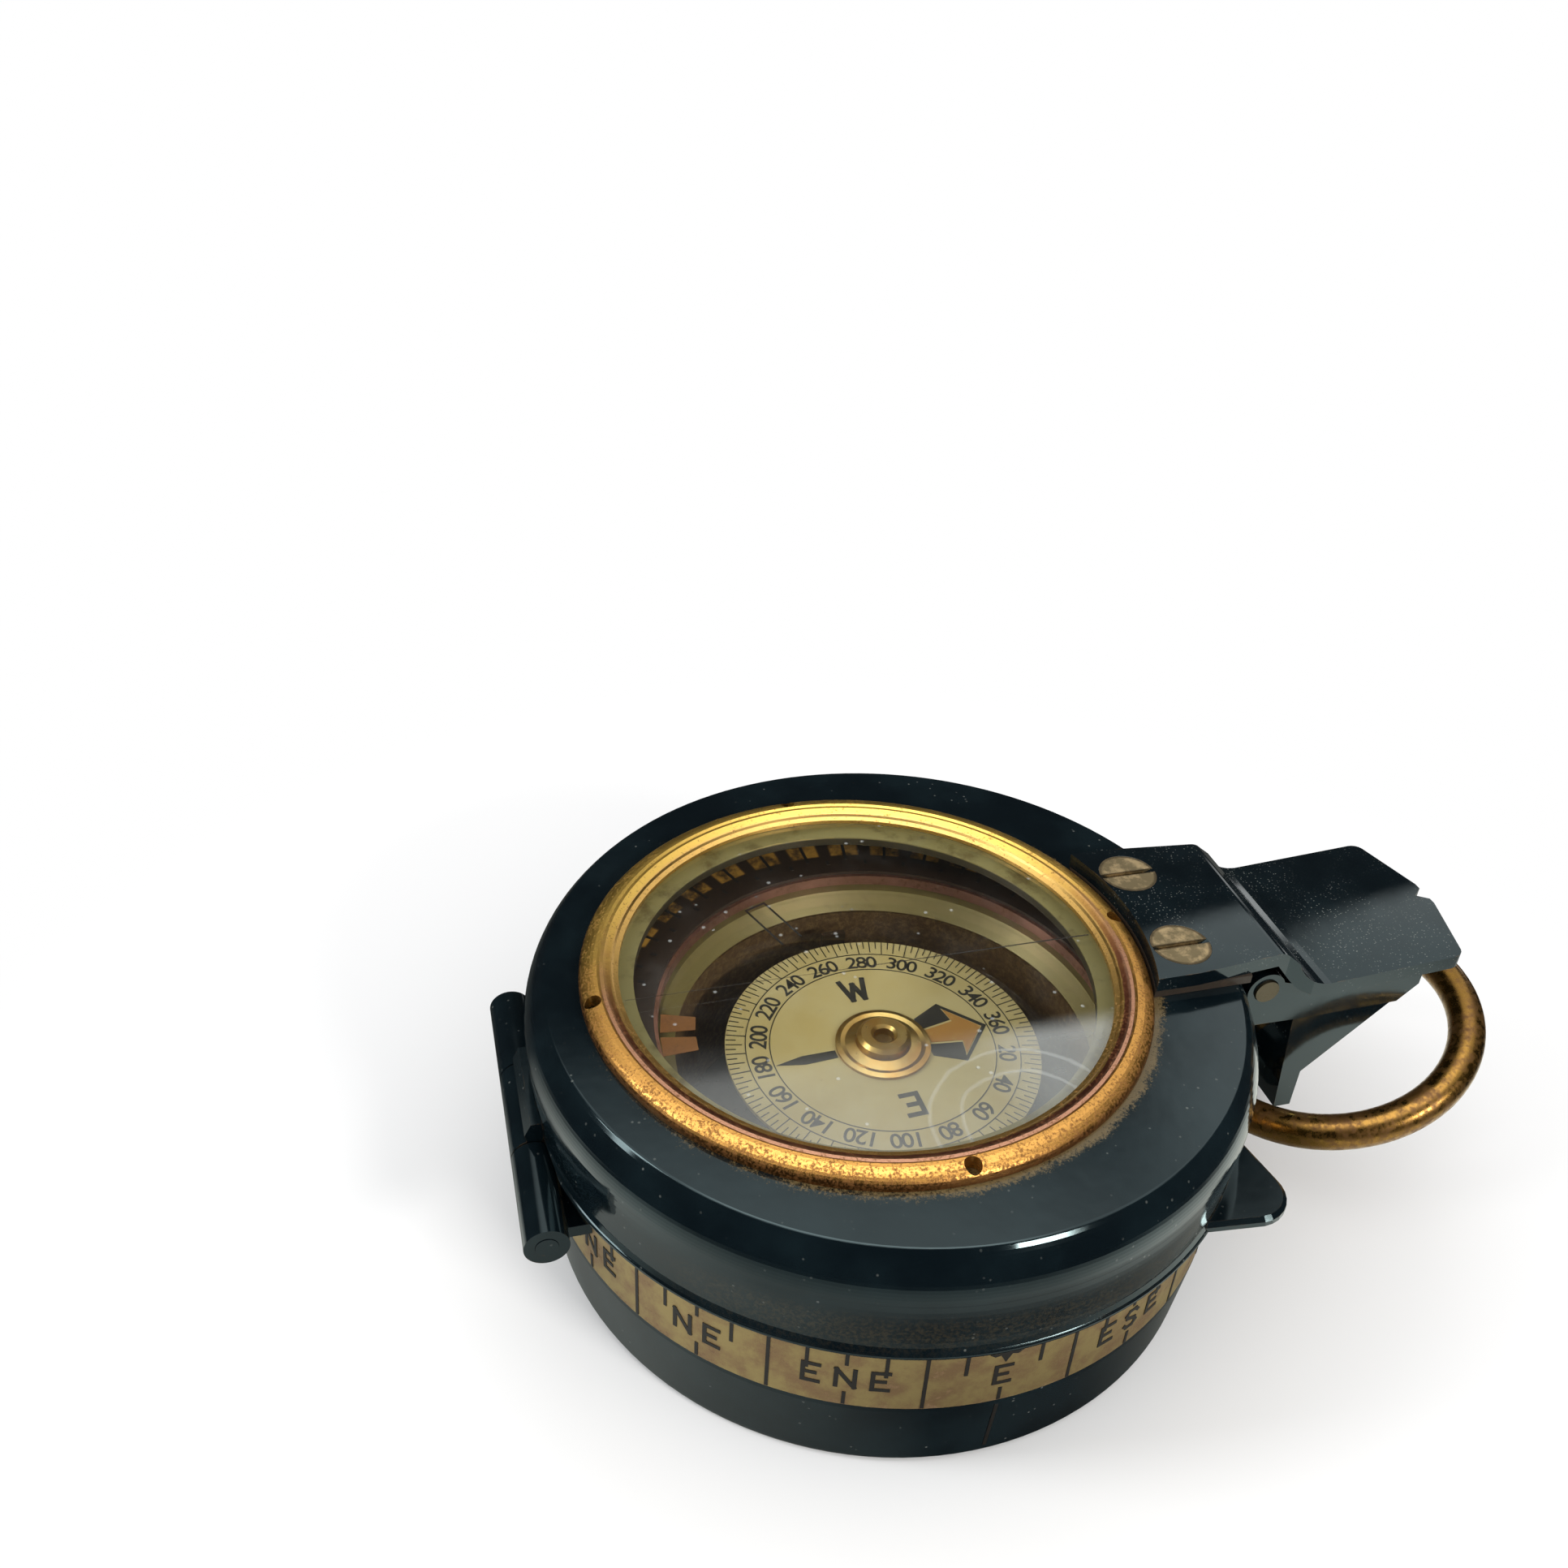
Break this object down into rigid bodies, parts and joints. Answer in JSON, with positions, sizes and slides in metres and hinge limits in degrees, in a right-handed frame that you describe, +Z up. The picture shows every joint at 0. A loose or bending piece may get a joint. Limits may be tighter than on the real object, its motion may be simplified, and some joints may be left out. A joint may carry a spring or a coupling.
{
  "type": "magnetic compass",
  "caption": "Dry prismatic marching compass: lacquered brass case, hinged lid with window, turning setting ring, folding prism box and carrying ring.",
  "frame": {"origin": "centre of the flat base", "axes": "+X from the case towards the prism and the carrying ring, +Z up through the window, lid shut"},
  "size_m": [0.0823, 0.0571, 0.0246],
  "materials": {
    "black_lacquer": "glossy blue-black lacquer, worn on its edges",
    "aged_brass": "aged brass with an orange-brown patina",
    "band_brass": "dull tan-gold with dirt in the engraving",
    "ring_brass": "dark golden brass, brown-streaked",
    "black_ink": "black filling",
    "steel": "dull grey steel",
    "pale_enamel": "pale green-grey paint",
    "brown_bronze": "dark brown bronzed finish",
    "clear_glass": "clear with a slight green tint",
    "card_paper": "aged cream card",
    "luminous_paint": "aged orange-brown luminous paint",
    "garnet": "polished stone"
  },
  "bodies": {
    "case": {"case_shell": "black_lacquer", "scale_band": "band_brass", "band_marks": "black_ink", "index_line": "black_ink", "bowl_liner": "brown_bronze", "liner_screws": "steel", "keeper_wire": "steel", "pivot_post": "aged_brass", "pivot_needle": "steel", "case_hinge_leaf": "black_lacquer", "hinge_pin": "steel", "prism_bracket": "black_lacquer", "bracket_screws": "steel", "ring_lug": "black_lacquer", "button_bush": "aged_brass", "prism_pin": "aged_brass", "button_spring": "steel"},
    "lid": {"lid_shell": "black_lacquer", "window_glass": "clear_glass", "sight_line": "black_ink", "glass_seat": "pale_enamel", "glass_ring": "aged_brass", "guard_packing": "aged_brass", "prism_guard": "black_lacquer", "guard_screws": "aged_brass", "lid_hinge_leaf": "black_lacquer", "thumb_lift": "black_lacquer"},
    "prism": {"prism_box": "black_lacquer", "prism_glass": "clear_glass", "eye_lens": "clear_glass"},
    "setting": {"setting_ring": "aged_brass", "milled_rim": "aged_brass", "ring_scale": "brown_bronze", "scale_marks": "black_ink", "dial_glass": "clear_glass", "glass_retainer": "pale_enamel", "direction_mark": "black_ink", "luminous_patches": "luminous_paint"},
    "card": {"card_disc": "card_paper", "card_marks": "black_ink", "north_mark": "luminous_paint", "card_cap": "aged_brass", "jewel": "garnet", "magnet_bars": "steel"},
    "ring": {"carrying_ring": "ring_brass"},
    "button": {"check_button": "aged_brass"}
  },
  "joints": [
    {"name": "lid_hinge", "type": "hinge", "parent": "case", "child": "lid", "pos_m": [-0.0278, 0, 0.0127], "axis": [0, -1, 0], "range_deg": [0, 180]},
    {"name": "prism_swing", "type": "hinge", "parent": "case", "child": "prism", "pos_m": [0.0291, 0, 0.0197], "axis": [0, -1, 0], "range_deg": [0, 180]},
    {"name": "ring_swing", "type": "hinge", "parent": "case", "child": "ring", "pos_m": [0.0297, 0, 0.005], "axis": [0, -1, 0], "range_deg": [-109, 15]},
    {"name": "setting_turn", "type": "hinge", "parent": "case", "child": "setting", "pos_m": [0, 0, 0.0159], "axis": [0, 0, 1], "continuous": true},
    {"name": "card_spin", "type": "hinge", "parent": "case", "child": "card", "pos_m": [0, 0, 0.0131], "axis": [0, 0, 1], "continuous": true},
    {"name": "check_press", "type": "slide", "parent": "case", "child": "button", "axis": [0, -1, 0], "range_m": [0, 0.0009], "stiffness_N_per_m": 400, "springref_m": -0.0008, "deforming": ["button_spring"]}
  ],
  "couplings": [
    {"joint": "prism_swing", "follows": "lid_hinge", "ratio": 1}
  ]
}
